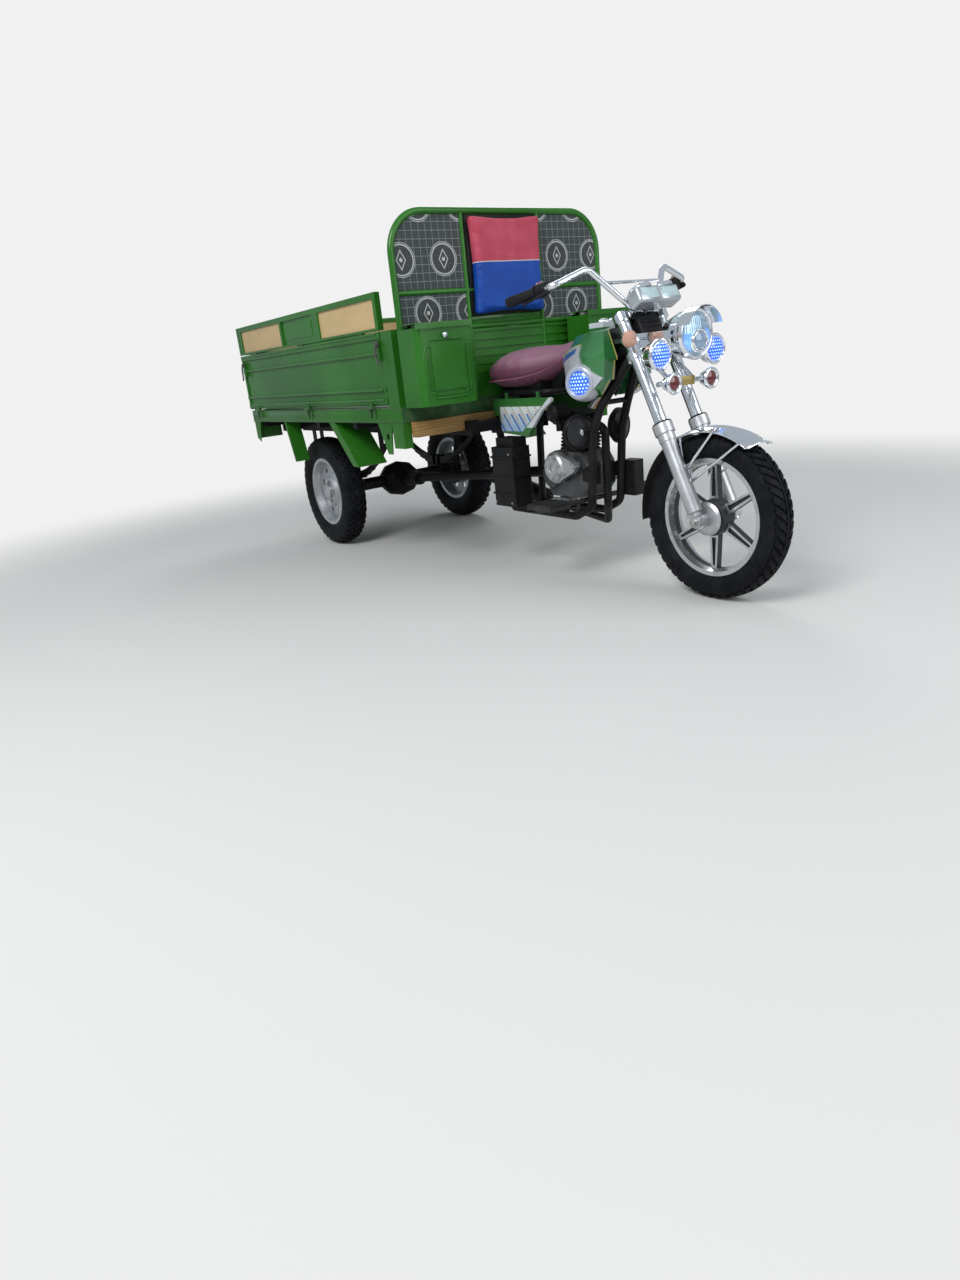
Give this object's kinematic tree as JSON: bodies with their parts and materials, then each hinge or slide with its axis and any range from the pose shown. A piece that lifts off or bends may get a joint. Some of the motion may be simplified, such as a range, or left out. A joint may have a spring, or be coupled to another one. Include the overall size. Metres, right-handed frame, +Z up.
{
  "type": "cargo motor tricycle",
  "caption": "Three-wheeled cargo motorcycle: raked fork, open engine, single saddle, tall headboard and a drop-side load box on leaf springs.",
  "frame": {"origin": "on the ground under the middle of the vehicle's length and width", "axes": "+X forward, +Y to the rider's left, +Z up"},
  "size_m": [3.36, 1.224, 1.5279],
  "materials": {
    "green_paint": "gloss enamel",
    "black_paint": "satin black",
    "chrome": "polished",
    "silver": "satin cast",
    "steel_silver": "silver lacquer",
    "black_plastic": "moulded",
    "rubber": "matte",
    "tyre": "road tyre",
    "board_tan": "smooth board",
    "board_dark": "patterned cloth on board",
    "seat_vinyl": "grained vinyl",
    "pad_vinyl": "two-tone vinyl",
    "plank_wood": "rough sawn",
    "lamp": "lens"
  },
  "bodies": {
    "chassis": {"main_frame": "black_paint", "ladder_frame": "black_paint", "crankcase": "silver", "engine_covers": "silver", "cylinder": "black_paint", "intake": "black_plastic", "exhaust": "black_paint", "horn_discs": "black_plastic", "fuel_tank": "green_paint", "tank_panels": "chrome", "seat": "seat_vinyl", "seat_base": "black_plastic", "side_covers": "green_paint", "battery_box": "black_plastic", "foot_controls": "black_paint", "rear_axle": "black_paint", "rear_suspension": "black_paint", "drive_shaft": "black_paint", "cargo_deck": "green_paint", "corner_posts": "green_paint", "mudguards": "green_paint", "headboard_frame": "green_paint", "headboard_panels": "board_dark", "front_panel": "green_paint", "back_pad": "pad_vinyl", "toolboxes": "green_paint", "plank": "plank_wood", "tail_lamps": "lamp"},
    "steering": {"fork": "silver", "fork_legs": "silver", "front_axle": "silver", "front_fender": "chrome", "mudflap": "rubber", "handlebar": "chrome", "hand_controls": "rubber", "headlamp": "chrome", "aux_lamps": "chrome", "turn_signals": "lamp", "instruments": "silver"},
    "wheel_front": {"front_tyre": "tyre", "front_wheel": "silver"},
    "wheel_rear_left": {"rear_tyre_left": "tyre", "rear_wheel_left": "steel_silver"},
    "wheel_rear_right": {"rear_tyre_right": "tyre", "rear_wheel_right": "steel_silver"},
    "gate_left": {"side_gate_left": "green_paint", "side_insets_left": "board_tan"},
    "gate_right": {"side_gate_right": "green_paint", "side_insets_right": "board_tan"},
    "gate_rear": {"tailgate": "green_paint", "tail_insets": "board_tan"},
    "lid_left": {"toolbox_lid_left": "green_paint"},
    "lid_right": {"toolbox_lid_right": "green_paint"}
  },
  "joints": [
    {"name": "steer", "type": "hinge", "parent": "chassis", "child": "steering", "pos_m": [1.04216, 0, 0.8537], "axis": [-0.4384, 0, 0.8988], "range_deg": [-38, 38]},
    {"name": "front_spin", "type": "hinge", "parent": "steering", "child": "wheel_front", "pos_m": [1.378, 0, 0.302], "axis": [0, 1, 0], "continuous": true},
    {"name": "rear_spin_left", "type": "hinge", "parent": "chassis", "child": "wheel_rear_left", "pos_m": [-0.997, 0.426, 0.3], "axis": [0, 1, 0], "continuous": true},
    {"name": "rear_spin_right", "type": "hinge", "parent": "chassis", "child": "wheel_rear_right", "pos_m": [-0.997, -0.426, 0.3], "axis": [0, 1, 0], "continuous": true},
    {"name": "gate_left_drop", "type": "hinge", "parent": "chassis", "child": "gate_left", "pos_m": [-0.767, 0.604, 0.768], "axis": [-1, 0, 0], "range_deg": [0, 175]},
    {"name": "gate_right_drop", "type": "hinge", "parent": "chassis", "child": "gate_right", "pos_m": [-0.767, -0.604, 0.768], "axis": [1, 0, 0], "range_deg": [0, 175]},
    {"name": "gate_rear_drop", "type": "hinge", "parent": "chassis", "child": "gate_rear", "pos_m": [-1.672, 0, 0.768], "axis": [0, -1, 0], "range_deg": [0, 175]},
    {"name": "lid_left_lift", "type": "hinge", "parent": "chassis", "child": "lid_left", "pos_m": [0.246, 0.456, 1.071], "axis": [0, -1, 0], "range_deg": [0, 75]},
    {"name": "lid_right_lift", "type": "hinge", "parent": "chassis", "child": "lid_right", "pos_m": [0.246, -0.456, 1.071], "axis": [0, -1, 0], "range_deg": [0, 75]}
  ]
}
